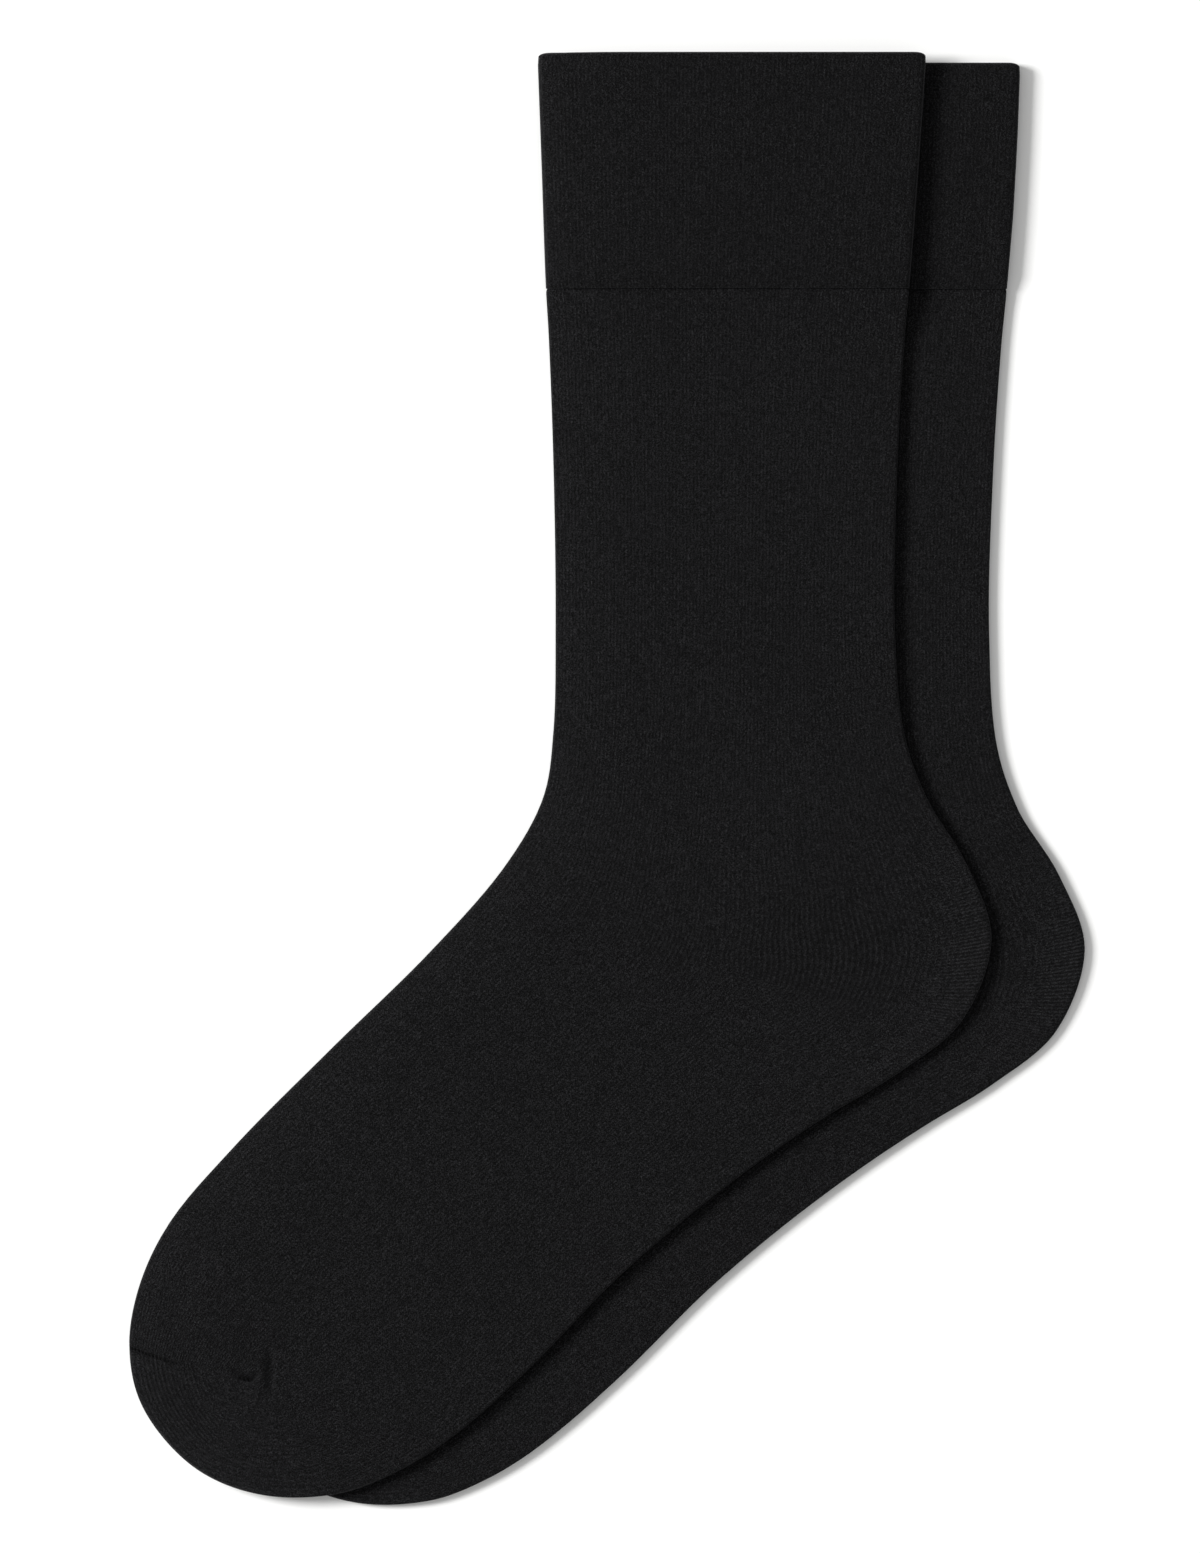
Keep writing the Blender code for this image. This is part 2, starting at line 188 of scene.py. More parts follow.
# Where the knit is pulled open and its wales show as lines, and where it fans out round the heel
# so that its courses do: the same kind of lines, with a share from 0 to 1 in place of a depth
openLines = [
    [(-4.0, -3.0, 0.35, 9, 1.2), (6.0, -9.0, 0.6, 11, 1.0), (16.0, -11.2, 0.7, 12, 1.0),
     (28.0, -14.6, 0.7, 12, 3.5), (42.0, -12.0, 0.5, 11, 6), (54.0, -8.0, 0.1, 10, 6)],
    [(0.0, 10.0, 0.1, 9, 8), (12.0, 6.0, 0.6, 12, 12), (26.0, 3.0, 0.7, 14, 12),
     (40.0, 2.0, 0.6, 13, 12), (52.0, 4.0, 0.2, 9, 9)],
    [(-26.0, 8.0, 0.1, 4, 4), (-17.0, -1.0, 0.6, 6, 5), (-11.0, -6.0, 0.7, 4, 5),
     (-8.5, -10.0, 0.1, 3, 3)],
    [(36.0, -27.0, 0.1, 5, 5), (50.0, -22.0, 0.5, 9, 7), (62.0, -8.0, 0.6, 9, 7),
     (63.0, 6.0, 0.4, 8, 7), (58.0, 18.0, 0.1, 6, 6)],
    [(-152.0, -106.5, 0.3, 9, 3), (-149.0, -115.0, 0.9, 10, 7), (-143.0, -125.0, 0.8, 9, 7),
     (-134.0, -133.0, 0.35, 7, 6), (-122.0, -139.0, 0.05, 5, 5)],
]
fanLines = [
    [(33.0, -34.0, 0.1, 6, 4), (48.0, -27.0, 0.55, 8, 6), (60.0, -14.0, 0.9, 10, 7),
     (65.0, -1.0, 1.0, 10, 7), (62.0, 13.0, 0.6, 8, 6), (54.0, 28.0, 0.1, 5, 5)],
]

# Painted shade, drawn in the same way: the cloth is made darker in the pit at the end of the
# linking seam, in the crease beside it and along the seam
paintedShadeLines = [
    [(-128.6, -111.4, 0.25, 0.8, 0.8), (-126.8, -112.9, 0.6, 0.9, 0.8),
     (-125.2, -113.6, 1.0, 1.0, 0.7), (-124.0, -113.7, 1.0, 0.9, 0.7),
     (-123.0, -112.9, 0.6, 0.6, 0.5), (-122.6, -111.9, 0.1, 0.5, 0.4)],
    [(-119.9, -106.4, 0.1, 0.8, 0.8), (-119.6, -108.6, 0.5, 1.0, 1.0),
     (-119.4, -112.0, 0.7, 1.0, 1.2), (-119.7, -115.0, 0.4, 0.9, 1.0),
     (-120.2, -118.4, 0.0, 0.8, 0.8)],
    [(-155.8, -105.1, 0.5, 0.4, 0.4), (-151.5, -107.1, 0.7, 0.4, 0.4),
     (-147.5, -108.6, 0.6, 0.4, 0.4), (-142.5, -110.0, 0.45, 0.4, 0.4),
     (-137.5, -111.4, 0.15, 0.4, 0.4), (-129.0, -113.2, 0.1, 0.4, 0.4)],
]


def smoothLine(stations, points):
    # a curve through points at these stations; its slope at each is the mean of both sides
    stations, points = np.array(stations), np.array(points)
    slopes = np.diff(points, axis=0) / np.diff(stations)[:, None]
    tangents = np.vstack([slopes[:1], (slopes[1:] + slopes[:-1]) / 2, slopes[-1:]])

    def pointAt(station):
        i = np.clip(np.searchsorted(stations, station, side="right") - 1, 0, len(points) - 2)
        span = (stations[i + 1] - stations[i])[..., None]
        t = (station - stations[i])[..., None] / span
        return (
            (2 * t**3 - 3 * t**2 + 1) * points[i]
            + (t**3 - 2 * t**2 + t) * span * tangents[i]
            + (3 * t**2 - 2 * t**3) * points[i + 1]
            + (t**3 - t**2) * span * tangents[i + 1]
        )

    return pointAt


# The fold line runs once round the sock: down the front, round the toe, up the sole, round the
# heel and up the back. These are the distances along it where each zone starts.
legStart = weltCourses[-1][0]
footStart = legStart + legCourses[-1][0]
toeStart = footStart + footCourses[-1][0]
toeRound = 0.076
heelRound = 0.086
soleTop = toeStart + toeRound + footCourses[-1][0]
backLegEnd = soleTop + heelRound
backEnd = backLegEnd + legCourses[-1][0] + weltCourses[-1][0]


def foldRows():
    rows = [(at, front) for at, front, middle, back in weltCourses]
    rows += [(legStart + at, front) for at, front, middle, back in legCourses[1:]]
    rows += [(footStart + at, front) for at, front, middle, back in footCourses[1:]]
    rows += [(toeStart + toeRound * (1 - at), fold) for at, fold in toeCourses[-2::-1]]
    rows += [(soleTop - at, back) for at, front, middle, back in footCourses[-2::-1]]
    rows += [(soleTop + heelRound * (1 - at), fold) for at, fold in heelCourses[-2::-1]]
    rows += [(backLegEnd + legCourses[-1][0] - at, back)
             for at, front, middle, back in legCourses[-2::-1]]
    rows += [(backEnd - at, back) for at, front, middle, back in weltCourses[-2::-1]]
    return rows


def middleRows():
    rows = [(at, middle) for at, front, middle, back in weltCourses]
    rows += [(legStart + at, middle) for at, front, middle, back in legCourses[1:]]
    rows += [(footStart + at, middle) for at, front, middle, back in footCourses[1:]]
    return rows


# The two socks came off the board a little differently: how the lower one's fold line differs,
# in mm across and along, at distances round it in metres
lowerFoldDiffers = [
    (0.386, 0.0, 0.0), (0.440, -0.2, 0.3), (0.470, -0.5, 0.7), (0.500, -0.75, 0.95),
    (0.530, -0.45, 0.55), (0.565, 0.0, 0.0), (0.600, 0.3, -0.4), (0.622, 0.4, -0.55),
    (0.650, 0.3, -0.25), (0.680, -0.1, 0.0), (0.700, -0.5, -0.1), (0.731, -0.9, -0.35),
    (0.755, -0.5, -0.1), (0.780, 0.0, 0.0), (0.820, 0.3, 0.0), (0.860, 0.6, 0.0),
    (0.895, 0.85, 0.0), (0.915, 0.5, 0.0), (0.934, -0.1, 0.0),
]

plainFold = smoothLine(*zip(*foldRows()))
middleLine = smoothLine(*zip(*middleRows()))


def lowerFold(station):
    table = np.array(lowerFoldDiffers)
    shift = [np.interp(station, table[:, 0], table[:, i]) / 1000 for i in (1, 2)]
    return plainFold(station) + np.stack(shift, axis=-1)


foldLines = {"upper": plainFold, "lower": lowerFold}


def cornerInset(station):
    # the mouth's corners are rounded off in plan
    radius = cloth["cornerRadius"]
    short = np.clip(radius - station, 0, radius)
    return radius - np.sqrt(np.maximum(radius**2 - short**2, 0))


def ease(value):
    value = np.clip(value, 0, 1)
    return value * value * (3 - 2 * value)


outline = plainFold(np.linspace(0, backEnd, 220))


def edgeDistance(points):
    # how far each point lies outside the sock's outline, and less than 0 inside it
    flat = points.reshape(-1, 2)
    found = np.empty(len(flat))
    batch = 4000  # points at a time, to spare memory
    end = np.roll(outline, -1, axis=0)
    side = end - outline
    squares = np.maximum((side**2).sum(axis=1), 1e-12)
    rise = np.where(side[:, 1] == 0, 1e-12, side[:, 1])
    for start in range(0, len(flat), batch):
        part = flat[start:start + batch, None]
        share = np.clip(((part - outline) * side).sum(axis=2) / squares, 0, 1)
        off = outline + side * share[..., None] - part
        nearest = np.sqrt((off**2).sum(axis=2).min(axis=1))
        crossed = (outline[:, 1] > part[..., 1]) != (end[:, 1] > part[..., 1])
        crossingX = outline[:, 0] + (part[..., 1] - outline[:, 1]) * side[:, 0] / rise
        inside = (crossed & (crossingX > part[..., 0])).sum(axis=1) % 2 == 1
        found[start:start + batch] = np.where(inside, -nearest, nearest)
    return found.reshape(points.shape[:-1])


def sockPlace(name):
    # the sock's own origin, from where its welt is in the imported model
    low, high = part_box(f"{name}_welt")
    return np.array([low.x, high.y]) - weltCourses[0][1]


places = {name: sockPlace(name) for name in ("upper", "lower")}
lowerShift = places["lower"] - places["upper"]


def groundUnder(name, plan):
    # the height of whatever the sock lies on: the floor, or the other sock and the floor beside it
    if name == "lower":
        return np.zeros(plan.shape[:-1])
    under = plan - lowerShift
    weltBase = middleLine(np.array(pair["weltLengths"]["lower"]))[1]
    onWelt = ease((under[..., 1] - weltBase) / pair["weltStepLength"] + 1)
    top = pair["tubeThickness"] + (pair["weltThickness"] - pair["tubeThickness"]) * onWelt
    beside = np.maximum(edgeDistance(under), 0)
    width = np.maximum(beside - edgeDistance(plan), pair["droopLength"])
    droop = (pair["tubeThickness"] + pair["seamGap"]) * (beside / width) ** 2
    return np.maximum(top + pair["seamGap"] - droop, 0)


def nearLines(plan, lines):
    # the sum of soft lines drawn on the sock, each with its own height and reach along it
    total = np.zeros(plan.shape[:-1])
    for line in lines:
        line = np.array(line) * [0.001, 0.001, 1, 0.001, 0.001]
        nearest = np.full(plan.shape[:-1], np.inf)
        own = np.zeros(plan.shape[:-1])
        for a, b in zip(line, line[1:]):
            side = b[:2] - a[:2]
            off = plan - a[:2]
            share = np.clip((off @ side) / (side @ side), 0, 1)
            gap = off - side * share[..., None]
            distance = np.sqrt((gap**2).sum(axis=-1))
            left = side[0] * off[..., 1] - side[1] * off[..., 0] > 0
            values = a + (b - a) * share[..., None]
            reach = np.where(left, values[..., 3], values[..., 4])
            closer = distance < nearest
            own = np.where(closer, values[..., 2] * np.exp(-((distance / reach) ** 2)), own)
            nearest = np.minimum(nearest, distance)
        total += own
    return total


def halfCourse(inner, fold, share, side, reach, radius, drawn):
    # From the fold (share 0) round its quarter turn and straight in to the inner point (share 1).
    # radius is the layer's own, and drawn the one left after its valleys and creases.
    across = fold - inner
    width = np.sqrt((across**2).sum(axis=-1))
    away = across / np.maximum(width, 1e-9)[..., None]
    quarter = radius * math.pi / 2
    walked = share * (width - reach + quarter)
    turn = np.clip(walked / radius, 0, math.pi / 2)
    beyond = np.maximum(walked - quarter, 0)
    out, lift = np.cos(turn) ** cloth["foldSquare"], np.sin(turn) ** cloth["foldSquare"]
    plan = fold - away * (reach - drawn * out + beyond)[..., None]
    return plan, side * drawn * lift, lift, walked


def layerPoints(name, inner, fold, share, side, reach, radius, valley, isInner, swell):
    # gives back the points, how far the knit is pulled open and fanned out at each, and how much
    # painted shade each gets
    plan, height, lift, walked = halfCourse(inner, fold, share, side, reach, radius, radius)
    over, under = nearLines(plan, topCreases), np.maximum(nearLines(plan, underCreases), 0)
    depth = np.where(side > 0, over, under) * lift / 1000
    opened = np.clip(nearLines(plan, openLines), 0, 1)
    fanned = np.clip(nearLines(plan, fanLines), 0, 1)
    valley = valley * (cloth["closedShare"] + (1 - cloth["closedShare"]) * opened) * (1 - fanned)
    if isInner:
        drawn = radius - np.clip(cloth["innerCreaseShare"] * depth, 0, cloth["innerCreaseLimit"])
    else:
        drawn = radius - valley - np.minimum(depth, cloth["creaseLimit"])
    plan, height, lift, walked = halfCourse(inner, fold, share, side, reach, radius, drawn)
    swollen = 1 + swell * np.exp(-walked / cloth["swellLength"])
    z = groundUnder(name, plan) + (reach + height) * swollen
    # painted shade, on the sock's top face only
    paintedShade = np.clip(nearLines(plan, paintedShadeLines), 0, 1) * (side > 0)
    return np.concatenate([plan + places[name], z[..., None]], axis=-1), opened, fanned, paintedShade


def waleValley(needle):
    return cloth["waleDepth"] * (0.5 + 0.5 * np.cos(2 * math.pi * needle))


meshing = {
    "mergeWithin": 1e-7,
    "sharpAngle": 52,  # degrees between faces, above which an edge isn't smoothed
    "layoutMargin": 0.002,  # of the flat layout that baking uses
}


def knitPiece(name, points, attributes, closedRound):
    # A closed shell from a grid of points: its rows run down the outside and back up the inside.
    # The attribute grids have one row and column more than the points where the grid closes.
    rows, columns = points.shape[:2]
    keys = np.round(points.reshape(-1, 3) / meshing["mergeWithin"]).astype(np.int64)
    first, index = np.unique(keys, axis=0, return_index=True, return_inverse=True)[1:]
    index = index.reshape(rows, columns)
    columnsDrawn = columns if closedRound else columns - 1
    row, column = np.meshgrid(np.arange(rows), np.arange(columnsDrawn), indexing="ij")
    row, column = row.ravel(), column.ravel()
    gridRows = np.stack([row, row + 1, row + 1, row], axis=1)
    gridColumns = np.stack([column, column, column + 1, column + 1], axis=1)
    quads = index[gridRows % rows, gridColumns % columns]
    keep = quads != np.roll(quads, -1, axis=1)
    whole = keep.sum(axis=1) >= 3
    keep = keep[whole]
    quads, gridRows, gridColumns = quads[whole], gridRows[whole], gridColumns[whole]
    counts = keep.sum(axis=1)
    mesh = bpy.data.meshes.new(name)
    mesh.vertices.add(len(first))
    mesh.vertices.foreach_set("co", points.reshape(-1, 3)[first].astype(np.float32).ravel())
    mesh.loops.add(int(counts.sum()))
    mesh.loops.foreach_set("vertex_index", quads[keep].astype(np.int32))
    mesh.polygons.add(len(counts))
    starts = np.concatenate([[0], np.cumsum(counts)[:-1]]).astype(np.int32)
    mesh.polygons.foreach_set("loop_start", starts)
    mesh.update(calc_edges=True)
    for title, grid in attributes.items():
        values = grid[gridRows, gridColumns][keep].astype(np.float32)
        mesh.attributes.new(title, "FLOAT", "CORNER").data.foreach_set("value", values)
    spots = np.stack([gridColumns[keep] / gridColumns.max(), gridRows[keep] / rows], axis=1)
    spots = meshing["layoutMargin"] + (1 - 2 * meshing["layoutMargin"]) * spots
    layout = mesh.uv_layers.new(name="OFBake")
    layout.data.foreach_set("uv", spots.astype(np.float32).ravel())
    mesh.validate()
    mesh.shade_smooth()
    mesh.set_sharp_from_angle(angle=math.radians(meshing["sharpAngle"]))
    piece = bpy.data.objects.new(name, mesh)
    bpy.context.scene.collection.objects.link(piece)
    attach(piece, "root")
    return piece


def tubePoints(name, zone, stations, half, radius, isInner, needles):
    # every wale of a zone that goes all round, at these stations down it
    start = {"Welt": 0.0, "Leg": pair["weltLengths"][name], "Foot": footStart}[zone]
    front = foldLines[name](stations + start)
    back = foldLines[name](soleTop - stations if zone == "Foot" else backEnd - start - stations)
    middle = middleLine(stations + start)
    if zone == "Welt":
        inset = cornerInset(stations)[:, None] * [1, 0]
        front, back = front + inset, back - inset
    front, middle, back = front[:, None], middle[:, None], back[:, None]
    backSwell = cloth["weltBackSwell"] if zone == "Welt" else cloth["backSwell"]
    quarter = cloth["needles"] // 4
    over = np.where(needles <= 2 * quarter, needles, 4 * quarter - needles)
    isFront = over <= quarter
    share = np.where(isFront, over, 2 * quarter - over) / quarter
    fold = np.where(isFront[:, None], front, back)
    shape = (len(stations), len(needles))
    return layerPoints(
        name,
        np.broadcast_to(middle, (*shape, 2)),
        fold,
        np.broadcast_to(share, shape),
        np.broadcast_to(np.where(needles <= 2 * quarter, 1.0, -1.0), shape),
        np.broadcast_to(half[:, None], shape),
        np.broadcast_to(radius[:, None], shape),
        np.broadcast_to(waleValley(needles), shape),
        isInner,
        np.where(isFront, cloth["frontSwell"], backSwell),
    )


def tubePiece(name, zone, settings, outside, inside):
    # outside and inside: the stations, half thickness and layer radius of their rows
    count = cloth["needles"] * cloth["pointsPerWale"]
    needles = np.arange(count) / cloth["pointsPerWale"]
    outer = tubePoints(name, zone, *outside, False, needles)
    inner = tubePoints(name, zone, *inside, True, needles)
    points, *grids = (np.concatenate(both) for both in zip(outer, inner))
    opened, fanned, paintedShade = (np.pad(grid, ((0, 1), (0, 1)), mode="wrap") for grid in grids)
    stations = np.concatenate([outside[0], inside[0], outside[0][:1]])
    full = np.ones((len(stations), count + 1))
    attributes = {
        "needle": full * np.append(needles, cloth["needles"]),
        "course": (stations / settings["courseSpacing"])[:, None] * full,
        "opened": opened,
        "fanned": fanned,
        "paintedShade": paintedShade,
    }
    return knitPiece(f"{name}{zone}Knit", points, attributes, True)


weltKnit = {
    "slot": "welt_knit",
    "wall": 0.0019,  # knitted double and turned in
    "slack": 0.0006,
    "courseSpacing": 0.00076,
    "outerRows": 24,
    "innerRows": 6,
    "lipStep": 15,  # degrees between rows round the turned lip
    "taperRows": 8,
    "baseTaper": 0.0045,  # it thins to the leg over this length
    "baseHalf": 0.00172,  # half its thickness there
    "baseDown": (0.0001, 0.00012),  # its last rows turn in: how far down and how far in
    "baseIn": (0.00012, 0.0004),
    "flatWidth": 0.192,  # what shows, all round; the doubled cut is twice as long
}


def buildWelt(name):
    s = weltKnit
    half = s["wall"] + s["slack"] / 2
    edge = s["wall"] / 2
    middle = s["slack"] / 2 + edge
    length = pair["weltLengths"][name]

    def halfAt(stations):
        taper = ease((stations - length + s["baseTaper"]) / s["baseTaper"])
        return half + (s["baseHalf"] - half) * taper

    lip = np.radians(np.arange(90, 0, -s["lipStep"]))
    stations = np.concatenate([
        edge * (1 - np.sin(lip)),
        np.linspace(edge, length - s["baseTaper"], s["outerRows"])[:-1],
        np.linspace(length - s["baseTaper"], length, s["taperRows"]),
    ])
    halves = halfAt(stations)
    radii = halves.copy()
    radii[:len(lip)] = middle + edge * np.cos(lip)
    outside = (
        np.append(stations, length + np.array(s["baseDown"])),
        np.append(halves, np.full(len(s["baseDown"]), halves[-1])),
        np.append(radii, halves[-1] - np.array(s["baseIn"])),
    )
    back = np.linspace(length, edge, s["innerRows"])
    turned = np.radians(np.arange(s["lipStep"], 90, s["lipStep"]))
    inside = (
        np.concatenate([back, edge * (1 - np.sin(turned))]),
        np.concatenate([halfAt(back), np.full(len(turned), half)]),
        np.concatenate([np.full(len(back), s["slack"] / 2), middle - edge * np.cos(turned)]),
    )
    return tubePiece(name, "Welt", s, outside, inside)


legKnit = {
    "slot": "leg_knit",
    "courseSpacing": 0.00068,
    "grooveRows": [0, 0.0003, 0.0006, 0.001, 0.0015],  # rows close together across the groove
    "outerRows": 56,
    "rowSpread": 1.08,  # above 1 the rows stand closer together near the welt
    "innerRows": 10,
    "startHalf": 0.00142,  # still held open by the welt
    "startTaper": 0.006,
    "groove": 0.00026,  # where the welt's turned edge is caught down
    "grooveLength": 0.0006,
    "flatWidth": 0.181,
}


def buildLeg(name):
    s = legKnit

    def halfAt(stations):
        return s["startHalf"] + (plainHalf - s["startHalf"]) * ease(stations / s["startTaper"])

    length = footStart - pair["weltLengths"][name]
    spread = np.linspace(0, 1, s["outerRows"])[1:] ** s["rowSpread"]
    stations = np.append(s["grooveRows"], length * spread)
    halves = halfAt(stations)
    radii = halves - s["groove"] * np.exp(-((stations / s["grooveLength"]) ** 2))
    back = np.linspace(length, 0, s["innerRows"])
    inside = (back, halfAt(back), np.full(len(back), cloth["slack"] / 2))
    return tubePiece(name, "Leg", s, (stations, halves, radii), inside)


footKnit = {
    "slot": "foot_knit",
    "courseSpacing": 0.00068,
    "ballStation": 0.130,  # fine rows from here on, for the creases at the toe joint
    "outerRows": 34,
    "toeRows": 48,
    "innerRows": 10,
    "flatWidth": 0.186,
    "flatLength": 0.160,
}


def buildFoot(name):
    s = footKnit
    length = footCourses[-1][0]
    stations = np.concatenate([
        np.linspace(0, s["ballStation"], s["outerRows"])[:-1],
        np.linspace(s["ballStation"], length, s["toeRows"]),
    ])
    back = np.linspace(length, 0, s["innerRows"])
    outside = (stations, np.full(len(stations), plainHalf), np.full(len(stations), plainHalf))
    inside = (back, np.full(len(back), plainHalf), np.full(len(back), cloth["slack"] / 2))
    return tubePiece(name, "Foot", s, outside, inside)


heelKnit = {
    "slot": "heel_knit",
    "corner": heelCorner,
    "turn": heelTurn,
    "foldStart": soleTop,
    "foldRound": heelRound,
    "courses": 84,  # to and fro, so they fan out to 1 mm apart at the back of the heel
    "walesDrawn": 1.0,
    "swells": (0.10, -0.20, 0.10),  # as frontSwell, at its start, its middle and its end
    "turnShare": 0.52,  # needles still at work at the turn
    "outerRows": 36,  # each half
    "innerRows": 6,
    "flatWidth": 0.147,
    "flatLength": 0.086,
    "area": 0.0055,
}
toeKnit = {
    "slot": "toe_knit",
    "corner": toeCorner,
    "turn": toeTurn,
    "foldStart": toeStart,
    "foldRound": toeRound,
    "courses": 80,
    "walesDrawn": 0.55,  # about every other one: they lie 0.6 mm apart, too fine to see
    "swells": (0.10, -0.38, -0.42),  # from the sole's fold, round the tip, to the front fold
    "turnShare": 0.5,
    "outerRows": 32,
    "innerRows": 6,
    "flatWidth": 0.077,
    "flatLength": 0.076,
    "area": 0.0022,
}


def pocketRows(name, settings, count, isInner):
    # the wales of a pocket, from one gore line over its fold to the other
    quarter = cloth["needles"] // 4
    steps = np.arange(-quarter * cloth["pointsPerWale"], quarter * cloth["pointsPerWale"] + 1)
    fromFold = np.abs(steps) / cloth["pointsPerWale"]
    side = np.where(steps <= 0, 1.0, -1.0)
    rested = 1 - settings["turnShare"]
    # how far round the pocket a wale gets before it ends on the gore line
    reached = np.minimum((1 - fromFold / quarter) / rested, 1) * 0.5
    along = np.linspace(0, 1, count)
    down = reached * along[:, None]
    at = np.vstack([down, 1 - down[-2::-1]])
    atGore = 1 - np.abs(2 * at - 1)
    corner, turn = np.array(settings["corner"]), np.array(settings["turn"])
    gore = corner + (turn - corner) * atGore[..., None]
    fold = foldLines[name](settings["foldStart"] + settings["foldRound"] * (1 - at))
    width = quarter * (1 - rested * atGore)
    share = np.clip(fromFold / width, 0, 1)
    radius = np.full(at.shape, cloth["slack"] / 2 if isInner else plainHalf)
    valley = np.broadcast_to(waleValley(fromFold * settings["walesDrawn"]), at.shape)
    swell = np.interp(at, (0, 0.5, 1), settings["swells"])
    points, opened, fanned, paintedShade = layerPoints(
        name, gore, fold, share, np.broadcast_to(side, at.shape), np.full(at.shape, plainHalf),
        radius, valley, isInner, swell,
    )
    needle = 2 * quarter + np.where(side > 0, -fromFold, fromFold) * settings["walesDrawn"]
    needle = np.broadcast_to(needle, at.shape)
    return points, needle, at * settings["courses"], opened, fanned, paintedShade


def buildPocket(name, zone, settings):
    outer = pocketRows(name, settings, settings["outerRows"], False)
    inner = pocketRows(name, settings, settings["innerRows"], True)
    points, *grids = [np.concatenate([out, into[::-1]]) for out, into in zip(outer, inner)]
    closed = [np.concatenate([grid, grid[:1]]) for grid in grids]
    attributes = dict(zip(("needle", "course", "opened", "fanned", "paintedShade"), closed))
    return knitPiece(f"{name}{zone}Knit", points, attributes, False)


seamStitches = {
    "count": 31,
    "length": 0.0012,
    "radius": 0.00021,
    "tipShare": 0.02,  # of its section's area, left at a stitch's ends
    "standsUp": 0.0001,
    "endsDip": 0.00018,  # into the knit
    "sinksFrom": 0.5,  # from half way along the seam, the stitches lie deeper
    "sinksOver": 0.2,
    "sinks": 0.0003,
    "lean": 0.85,  # radians off the seam
    "leanVaries": 0.12,
    "leanChanges": 2.3,  # radians of that variation from one stitch to the next
    "sides": 7,
    "rings": 6,
    "line": [(-0.1559, -0.1055), (-0.1487, -0.1082), (-0.1404, -0.1105), (-0.1326, -0.1126),
             (-0.1248, -0.1139)],
}


def stitchPoints(spot, axis, middle, dip):
    # rings of points along one stitch, rounded off and dipping at both ends
    s = seamStitches
    across = np.array([-axis[1], axis[0]])
    points = []
    for t in np.arange(s["rings"] + 1) / s["rings"] * 2 - 1:
        girth = s["radius"] * math.sqrt(max(1 - t**4, s["tipShare"]))
        for turn in 2 * math.pi * np.arange(s["sides"]) / s["sides"]:
            plan = spot + axis * t * s["length"] / 2 + across * girth * math.cos(turn)
            points.append((*plan, middle - dip * t * t + girth * math.sin(turn)))
    return points


def stitchFaces(base):
    rings, sides = seamStitches["rings"], seamStitches["sides"]
    faces = []
    for ring in range(rings):
        for k in range(sides):
            a = base + ring * sides + k
            b = base + ring * sides + (k + 1) % sides
            faces.append((a, b, b + sides, a + sides))
    faces.append(tuple(base + k for k in range(sides))[::-1])
    faces.append(tuple(base + rings * sides + k for k in range(sides)))
    return faces


def buildSeamStitches(name):
    # the linking yarn over the toes: one short slanting stitch for each pair of loops
    s = seamStitches
    line = np.array(s["line"])
    last = len(line) - 1
    verts, faces = [], []
    for side in (1, -1):
        for number, share in enumerate((np.arange(s["count"]) + 0.5) / s["count"] * last):
            i = min(int(share), last - 1)
            step = line[i + 1] - line[i]
            spot = line[i] + step * (share - i)
            run = step / np.linalg.norm(step)
            lean = s["lean"] + s["leanVaries"] * math.sin(number * s["leanChanges"])
            axis = np.array([run[0] * math.cos(lean) + run[1] * math.sin(lean),
                             run[1] * math.cos(lean) - run[0] * math.sin(lean)])
            middle = float(groundUnder(name, spot[None])[0]) + s["radius"]
            if side > 0:
                sunk = s["sinks"] * float(ease((share / last - s["sinksFrom"]) / s["sinksOver"]))
                middle += 2 * (plainHalf - s["radius"]) + s["standsUp"] - sunk
            faces += stitchFaces(len(verts))
            verts += stitchPoints(spot + places[name], axis, middle, s["endsDip"] * side)
    mesh = bpy.data.meshes.new(f"{name}ToeLinkingYarn")
    mesh.from_pydata(verts, [], faces)
    mesh.update()
    mesh.shade_smooth()
    piece = bpy.data.objects.new(f"{name}ToeLinkingYarn", mesh)
    bpy.context.scene.collection.objects.link(piece)
    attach(piece, "root")
    return piece


def toLinear(hexColour):
    channels = [int(hexColour[i:i + 2], 16) / 255 for i in (0, 2, 4)]
    return (*[c / 12.92 if c <= 0.04045 else ((c + 0.055) / 1.055) ** 2.4 for c in channels], 1)


def addNode(tree, kind, inputs=(), output=0, **settings):
    # Adds a node and gives back one of its outputs. An input is a number or colour to set, or
    # the output of another node to link.
    node = tree.nodes.new(kind)
    for key, value in settings.items():
        setattr(node, key, value)
    for key, value in inputs.items() if isinstance(inputs, dict) else enumerate(inputs):
        if isinstance(value, bpy.types.NodeSocket):
            tree.links.new(value, node.inputs[key])
        else:
            node.inputs[key].default_value = value
    return node.outputs[output]


